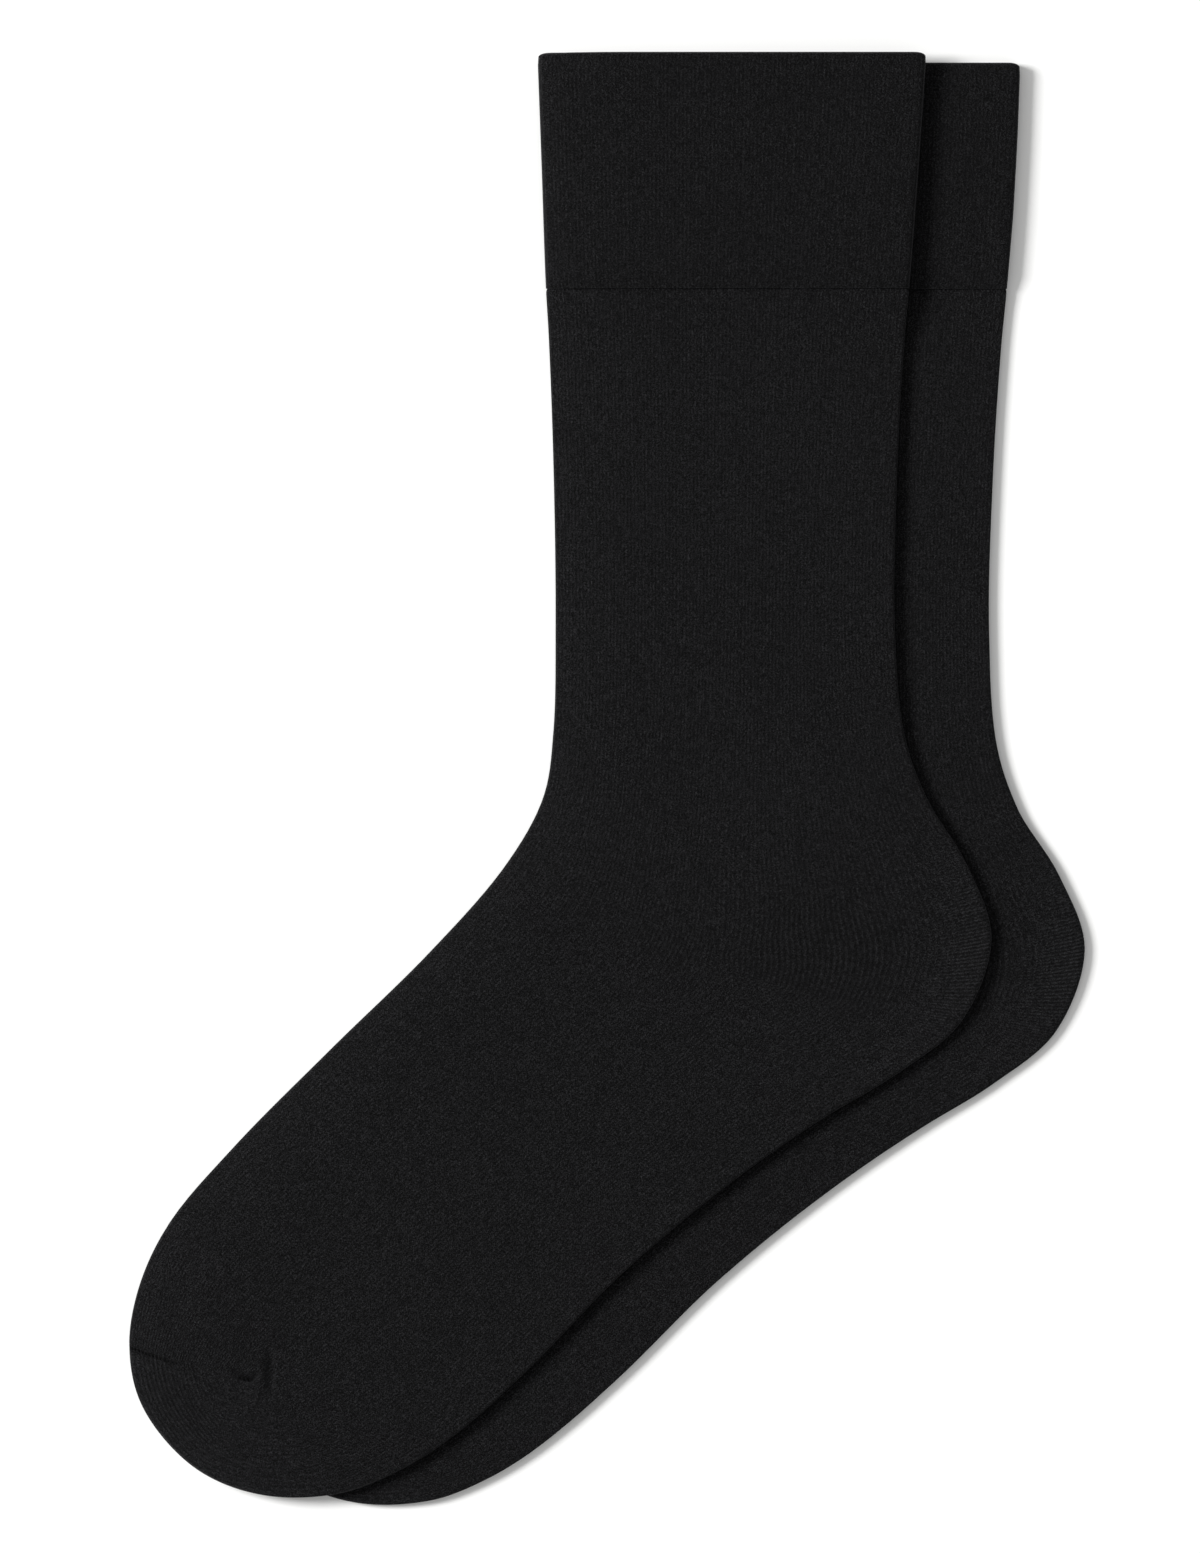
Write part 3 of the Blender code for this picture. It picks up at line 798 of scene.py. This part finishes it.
# Combed cotton, reactive-dyed black and knitted plain on a fine machine: a matt cloth whose
# stitches give a fine dark and light speckle, with a little fuzz that lights up along the folds.
# A wale is 0.9 to 1.4 mm wide here and a course 0.68 mm, both just coarse enough to show.
combedCotton = {
    "loopTop": "121213",
    # painted shade in the valleys between the loops
    "paintedLoopShade": "050505",
    "legLean": 1.1,  # how many courses a stitch's two legs climb as they spread
    "fanLean": 0.2,  # less where the knit fans out
    "waleDark": 0.7,  # how deep a line between wales is, beside one between courses, in the bump and in the painted shade
    "closedWale": 0.50,  # how much of the wale's line shows in the closed knit
    "openWale": 0.95,  # and where it is pulled open
    "fanWale": 0.15,  # and how much of that is left where it fans out
    "closedCourse": 0.20,  # how much of the course's line shows
    "fanCourse": 0.95,  # and where the knit fans out
    "melange": 0.42,  # how much one stitch differs from the next
    "patchSize": 0.030,  # uneven dye and pressing
    "patchDiffers": 0.24,
    "fuzzSize": 0.00028,  # lint and fibre ends, finer in truth, drawn coarse enough to show
    "fuzzTilt": (0.7, 0.5, 0.3),  # turned, so that its grain is the same all over a flat cloth
    "lint": 6.8,  # how strongly the fuzz speckles the cloth
    "openLint": 3.6,  # and where it is pulled open or fans out
    "lintLevel": 1.035,  # what the speckle varies about
    "openPaintedHighlight": 0.03,  # painted highlight: lighter where the knit is pulled open
    "fanPaintedHighlight": 0.80,  # and a much stronger painted highlight round the back of the heel
    "paintedShadeStrength": 0.75,  # how much darker the painted shade makes the cloth
    "stitchDepth": 0.00016,  # relief of the stitches, and of the fuzz on them
    "fuzzDepth": 0.00014,
    "roughness": 0.9,
    "specular": 0.06,
    "sheen": 0.10,
    "sheenRoughness": 0.5,
    "sheenTint": "c4c3c8",  # of the light that fibre ends catch along a fold
    "zones": {  # how light each zone is drawn, the toe lightest and the turned welt darkest
        "Welt": ("turned welt", 0.82),
        "Leg": ("leg", 0.93),
        "Heel": ("heel", 0.95),
        "Foot": ("foot", 0.93),
        "Toe": ("toe", 1.02),
    },
}


def cottonKnit(title, lift):
    s = combedCotton
    material = bpy.data.materials.new(f"combed cotton, plain knit, {title}")
    material.use_nodes = True
    tree = material.node_tree
    shader = tree.nodes["Principled BSDF"]
    maths, noise = "ShaderNodeMath", "ShaderNodeTexNoise"
    needle, course, opened, fanned, paintedShade = (
        addNode(tree, "ShaderNodeAttribute", output="Fac", attribute_name=kind)
        for kind in ("needle", "course", "opened", "fanned", "paintedShade")
    )

    # one wale is one turn of the needle count; its two legs lean together into a V each course
    turned = addNode(tree, maths, (needle,), operation="FRACT")
    centred = addNode(tree, maths, (turned, 0.5), operation="SUBTRACT")
    fromCentre = addNode(tree, maths, (centred,), operation="ABSOLUTE")
    angle = addNode(tree, maths, (fromCentre, 2 * math.pi), operation="MULTIPLY")
    wave = addNode(tree, maths, (angle,), operation="COSINE")
    waleTop = addNode(tree, maths, (wave, 0.5, 0.5), operation="MULTIPLY_ADD")
    lean = addNode(tree, maths, (fanned, s["fanLean"] - s["legLean"], s["legLean"]),
                   operation="MULTIPLY_ADD")
    leaning = addNode(tree, maths, (fromCentre, lean, course), operation="MULTIPLY_ADD")
    angle = addNode(tree, maths, (leaning, 2 * math.pi), operation="MULTIPLY")
    wave = addNode(tree, maths, (angle,), operation="COSINE")
    loopTop = addNode(tree, maths, (wave, 0.5, 0.5), operation="MULTIPLY_ADD")

    # how deep the lines between wales and between courses are here
    openShare = addNode(tree, maths, (opened, s["openWale"] - s["closedWale"], s["closedWale"]),
                        operation="MULTIPLY_ADD")
    unfanned = addNode(tree, maths, (fanned, s["fanWale"] - 1, 1.0), operation="MULTIPLY_ADD")
    waleShare = addNode(tree, maths, (openShare, unfanned), operation="MULTIPLY")
    waleGap = addNode(tree, maths, (1.0, waleTop), operation="SUBTRACT")
    waleLine = addNode(tree, maths, (waleGap, waleShare), operation="MULTIPLY")
    courseShare = addNode(
        tree, maths, (fanned, s["fanCourse"] - s["closedCourse"], s["closedCourse"]),
        operation="MULTIPLY_ADD")
    courseGap = addNode(tree, maths, (1.0, loopTop), operation="SUBTRACT")
    courseLine = addNode(tree, maths, (courseGap, courseShare), operation="MULTIPLY")
    sunk = addNode(tree, maths, (waleLine, s["waleDark"], courseLine), operation="MULTIPLY_ADD")
    sunk = addNode(tree, maths, (sunk, 1.0), operation="MINIMUM")
    height = addNode(tree, maths, (1.0, sunk), operation="SUBTRACT")

    # each stitch takes the dye a little differently, and there are wide lighter patches
    twice = addNode(tree, maths, (needle, 2.0), operation="MULTIPLY")
    leg = addNode(tree, maths, (twice,), operation="FLOOR")
    loop = addNode(tree, maths, (leaning,), operation="FLOOR")
    stitch = addNode(tree, "ShaderNodeCombineXYZ", (leg, loop))
    chance = addNode(tree, "ShaderNodeTexWhiteNoise", {"Vector": stitch}, noise_dimensions="2D")
    dyed = addNode(tree, maths, (chance, s["melange"] * 2, 1 - s["melange"]),
                   operation="MULTIPLY_ADD")
    place = addNode(tree, "ShaderNodeTexCoord", output="Object")
    patch = addNode(tree, noise, {"Vector": place, "Scale": 1 / s["patchSize"], "Detail": 3.0})
    patch = addNode(tree, maths, (patch, s["patchDiffers"], 1 - s["patchDiffers"] / 2),
                    operation="MULTIPLY_ADD")
    dyed = addNode(tree, maths, (dyed, patch), operation="MULTIPLY")

    # lint speckles the closed knit most
    tilted = addNode(tree, "ShaderNodeMapping", {"Vector": place, "Rotation": s["fuzzTilt"]})
    fuzz = addNode(tree, noise, {"Vector": tilted, "Scale": 1 / s["fuzzSize"], "Detail": 0.0})
    loose = addNode(tree, maths, (opened, fanned), operation="MAXIMUM")
    strength = addNode(tree, maths, (loose, s["openLint"] - s["lint"], s["lint"]),
                       operation="MULTIPLY_ADD")
    centred = addNode(tree, maths, (fuzz, 0.5), operation="SUBTRACT")
    lint = addNode(tree, maths, (centred, strength, s["lintLevel"]), operation="MULTIPLY_ADD")
    speckle = addNode(tree, maths, (lint, 0.0), operation="MAXIMUM")
    tone = addNode(tree, maths, (dyed, speckle), operation="MULTIPLY")

    # painted highlight where it is pulled open or fans out round the heel, and painted shade in the
    # pit, its crease and along the linking seam
    openPaintedHighlight = addNode(tree, maths, (opened, s["openPaintedHighlight"]), operation="MULTIPLY")
    fanPaintedHighlight = addNode(tree, maths, (fanned, s["fanPaintedHighlight"]), operation="MULTIPLY")
    paintedHighlightTone = addNode(tree, maths, (openPaintedHighlight, fanPaintedHighlight), operation="MAXIMUM")
    paintedHighlightTone = addNode(tree, maths, (paintedHighlightTone, lift), operation="ADD")
    tone = addNode(tree, maths, (tone, paintedHighlightTone), operation="MULTIPLY")
    shade = addNode(tree, maths, (paintedShade, -s["paintedShadeStrength"], 1.0), operation="MULTIPLY_ADD")
    tone = addNode(tree, maths, (tone, shade), operation="MULTIPLY")

    # the yarn's own colour on the loops, with painted shade in the valleys between them
    yarn = addNode(tree, "ShaderNodeMix", {
        0: height, 6: toLinear(s["paintedLoopShade"]), 7: toLinear(s["loopTop"]),
    }, output=2, data_type="RGBA")
    toned = addNode(tree, "ShaderNodeVectorMath", {0: yarn, "Scale": tone}, operation="SCALE")
    stitches = addNode(tree, "ShaderNodeBump", {
        "Height": height, "Strength": 1.0, "Distance": s["stitchDepth"]})
    fibres = addNode(tree, "ShaderNodeBump", {
        "Height": fuzz, "Strength": 1.0, "Distance": s["fuzzDepth"], "Normal": stitches})
    tree.links.new(toned, shader.inputs["Base Color"])
    tree.links.new(fibres, shader.inputs["Normal"])
    finishCotton(shader)
    return material


def finishCotton(shader):
    s = combedCotton
    shader.inputs["Roughness"].default_value = s["roughness"]
    shader.inputs["Specular IOR Level"].default_value = s["specular"]
    shader.inputs["Sheen Weight"].default_value = s["sheen"]
    shader.inputs["Sheen Roughness"].default_value = s["sheenRoughness"]
    shader.inputs["Sheen Tint"].default_value = toLinear(s["sheenTint"])


# Two-ply cotton of the same dye lot, twisted tight: its plies show as slanting lines, with painted
# shade in the grooves between them.
linkingYarn = {
    "ply": "0a0a0b",
    # painted shade in the grooves between the plies
    "paintedPlyShade": "040404",
    "plySpacing": 0.00074,  # along the yarn, about twice the real one's, so that it shows
    "bandSpacing": 0.444,  # of the wave's slanting bands at a scale of 1
    "plyWaver": 1.5,
    "plyDepth": 0.0001,
    "plyStrength": 0.6,
}


def twistedYarn(title):
    s = linkingYarn
    material = bpy.data.materials.new(title)
    material.use_nodes = True
    tree = material.node_tree
    shader = tree.nodes["Principled BSDF"]
    place = addNode(tree, "ShaderNodeTexCoord", output="Object")
    plies = addNode(tree, "ShaderNodeTexWave", {
        "Vector": place, "Scale": s["bandSpacing"] / s["plySpacing"], "Distortion": s["plyWaver"],
    }, output="Fac", bands_direction="DIAGONAL")
    yarn = addNode(tree, "ShaderNodeMix", {
        0: plies, 6: toLinear(s["paintedPlyShade"]), 7: toLinear(s["ply"]),
    }, output=2, data_type="RGBA")
    twist = addNode(tree, "ShaderNodeBump", {
        "Height": plies, "Strength": s["plyStrength"], "Distance": s["plyDepth"]})
    tree.links.new(yarn, shader.inputs["Base Color"])
    tree.links.new(twist, shader.inputs["Normal"])
    finishCotton(shader)
    return material


# Uncoated white paper: flat and matt, it shows soft shadows and no gloss.
paperFloor = {
    "reach": 6.0,  # out from the middle, enough to fill every view
    "colour": "eeeeed",
    "roughness": 0.9,
    "specular": 0.1,
}


def buildFloor():
    s = paperFloor
    mesh = bpy.data.meshes.new("paperFloor")
    corners = [(x * s["reach"], y * s["reach"], 0) for x, y in ((-1, -1), (1, -1), (1, 1), (-1, 1))]
    mesh.from_pydata(corners, [], [(0, 1, 2, 3)])
    floor = bpy.data.objects.new("paperFloor", mesh)
    bpy.context.scene.collection.objects.link(floor)
    material = bpy.data.materials.new("white paper, uncoated")
    material.use_nodes = True
    shader = material.node_tree.nodes["Principled BSDF"]
    shader.inputs["Base Color"].default_value = toLinear(s["colour"])
    shader.inputs["Roughness"].default_value = s["roughness"]
    shader.inputs["Specular IOR Level"].default_value = s["specular"]
    mesh.materials.append(material)
    print("floor laid")


studio = {
    "keyPower": 90.0,
    "keyDistance": 2.6,
    "keySize": 0.9,
    "keyElevation": 36.5,
    "keyDirection": 164.0,  # degrees round from +X: from the left and a little from the mouth end
    "fill": 0.57,  # from the studio's white walls
    "lens": 250.0,  # a long lens, straight down
    "sensorWidth": 36.0,
    "viewHeight": 2.804,
    "viewCentre": (-0.0019, 0.0008),
}


def buildStudio():
    s = studio
    scene = bpy.context.scene
    around, up = math.radians(s["keyDirection"]), math.radians(s["keyElevation"])
    level = math.cos(up)
    direction = Vector((math.cos(around) * level, math.sin(around) * level, math.sin(up)))
    data = bpy.data.lights.new("softKey", "AREA")
    data.energy = s["keyPower"]
    data.size = s["keySize"]
    key = bpy.data.objects.new("softKey", data)
    key.location = direction * s["keyDistance"]
    key.rotation_euler = direction.to_track_quat("Z", "Y").to_euler()
    key.visible_camera = False
    scene.collection.objects.link(key)
    world = bpy.data.worlds.new("studioWalls")
    world.use_nodes = True
    world.node_tree.nodes["Background"].inputs["Color"].default_value = (1, 1, 1, 1)
    world.node_tree.nodes["Background"].inputs["Strength"].default_value = s["fill"]
    scene.world = world
    lens = bpy.data.cameras.new("overhead")
    lens.lens = s["lens"]
    lens.sensor_width = s["sensorWidth"]
    camera = bpy.data.objects.new("overhead", lens)
    camera.location = (*s["viewCentre"], s["viewHeight"])
    scene.collection.objects.link(camera)
    scene.camera = camera
    scene.view_settings.view_transform = "Standard"


def main():
    knit = {zone: cottonKnit(*how) for zone, how in combedCotton["zones"].items()}
    linking = twistedYarn("two-ply cotton yarn, linked seam")
    print("cotton dyed:", len(knit), "zones and the linking yarn")
    for name in ("lower", "upper"):
        pieces = {
            "Welt": buildWelt(name),
            "Leg": buildLeg(name),
            "Heel": buildPocket(name, "Heel", heelKnit),
            "Foot": buildFoot(name),
            "Toe": buildPocket(name, "Toe", toeKnit),
        }
        yarn = buildSeamStitches(name)
        yarn.data.materials.append(linking)
        for zone, piece in pieces.items():
            piece.data.materials.append(knit[zone])
            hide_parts(f"{name}_{zone.lower()}")
            print(name, zone, "knitted:", len(piece.data.polygons), "faces")
    buildStudio()
    print("light and camera are up")


buildFloor()
main()
